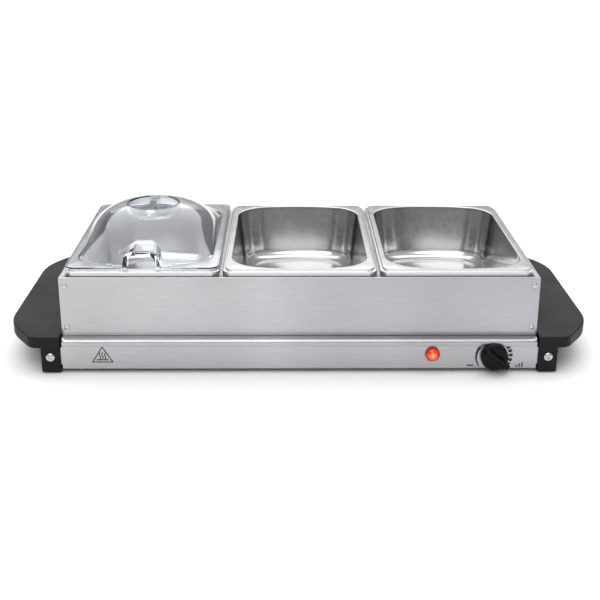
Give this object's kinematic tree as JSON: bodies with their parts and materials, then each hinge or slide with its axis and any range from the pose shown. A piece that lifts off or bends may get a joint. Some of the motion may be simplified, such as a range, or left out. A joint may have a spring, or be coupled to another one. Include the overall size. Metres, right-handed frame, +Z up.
{
  "type": "electric buffet server",
  "caption": "Countertop warming tray with end handles, a lift-off steel frame holding lift-out food pans, a clear domed lid with a spoon notch, a heat knob and a pilot lamp.",
  "frame": {"origin": "on the surface the server stands on, under the middle of its box", "axes": "+X along the server from the lid end to the knob end, +Y from the front to the back, +Z up"},
  "size_m": [0.6258, 0.3166, 0.148],
  "materials": {
    "brushed_steel": "brushed along the length",
    "polished_steel": "polished",
    "zinc_steel": "zinc plated, dull",
    "black_plastic": "fine moulded texture",
    "clear_plastic": "clear, glossy",
    "amber_lens": "translucent, glossy",
    "lamp_glass": "clear",
    "rubber": "matt",
    "ceramic": "unglazed ceramic",
    "heater_sheath": "heat-darkened",
    "brown_wire": "extruded insulation",
    "white_wire": "heat-proof sleeve"
  },
  "bodies": {
    "base": {"hot_plate": "brushed_steel", "base_front_wall": "brushed_steel", "base_rear_wall": "brushed_steel", "base_left_wall": "brushed_steel", "base_right_wall": "brushed_steel", "bottom_cover": "zinc_steel", "handle_screw_front_left": "polished_steel", "cover_screw_front_left": "zinc_steel", "foot_front_left": "rubber", "handle_screw_front_right": "polished_steel", "cover_screw_front_right": "zinc_steel", "foot_front_right": "rubber", "handle_screw_rear_left": "polished_steel", "cover_screw_rear_left": "zinc_steel", "foot_rear_left": "rubber", "handle_screw_rear_right": "polished_steel", "cover_screw_rear_right": "zinc_steel", "foot_rear_right": "rubber", "right_handle": "black_plastic", "left_handle": "black_plastic", "heating_element": "heater_sheath", "element_clamp_left": "zinc_steel", "element_clamp_right": "zinc_steel", "heat_reflector": "zinc_steel", "thermal_fuse": "ceramic", "thermostat_body": "ceramic", "thermostat_screw_left": "zinc_steel", "thermostat_screw_right": "zinc_steel", "lamp_bezel": "black_plastic", "lamp_lens": "amber_lens", "neon_lamp": "lamp_glass", "lamp_retainer": "zinc_steel", "cord_gland": "black_plastic", "gland_nut": "black_plastic", "terminal_block": "ceramic", "mains_wire": "brown_wire", "heater_wire_front": "white_wire", "heater_wire_rear": "white_wire", "lamp_wire": "white_wire"},
    "knob": {"control_knob": "black_plastic", "thermostat_shaft": "zinc_steel"},
    "pan_frame": {"frame_front_wall": "brushed_steel", "frame_rear_wall": "brushed_steel", "frame_left_wall": "brushed_steel", "frame_right_wall": "brushed_steel", "cross_bar_left": "brushed_steel", "cross_bar_right": "brushed_steel", "rivet_front_left_lower": "polished_steel", "rivet_front_left_upper": "polished_steel", "rivet_front_right_lower": "polished_steel", "rivet_front_right_upper": "polished_steel", "rivet_rear_left_lower": "polished_steel", "rivet_rear_left_upper": "polished_steel", "rivet_rear_right_lower": "polished_steel", "rivet_rear_right_upper": "polished_steel"},
    "left_pan": {"food_pan_left": "polished_steel"},
    "middle_pan": {"food_pan_middle": "polished_steel"},
    "right_pan": {"food_pan_right": "polished_steel"},
    "lid": {"lid": "clear_plastic"}
  },
  "joints": [
    {"name": "knob_turn", "type": "hinge", "parent": "base", "child": "knob", "pos_m": [0.2042, -0.15, 0.019], "axis": [0, -1, 0], "range_deg": [0, 256]},
    {"name": "pan_frame_lift", "type": "slide", "parent": "base", "child": "pan_frame", "axis": [0, 0, 1], "range_m": [0, 0.08]},
    {"name": "left_pan_lift", "type": "slide", "parent": "pan_frame", "child": "left_pan", "axis": [0, 0, 1], "range_m": [0, 0.09]},
    {"name": "middle_pan_lift", "type": "slide", "parent": "pan_frame", "child": "middle_pan", "axis": [0, 0, 1], "range_m": [0, 0.09]},
    {"name": "right_pan_lift", "type": "slide", "parent": "pan_frame", "child": "right_pan", "axis": [0, 0, 1], "range_m": [0, 0.09]},
    {"name": "lid_lift", "type": "slide", "parent": "left_pan", "child": "lid", "axis": [0, 0, 1], "range_m": [0, 0.06]}
  ]
}
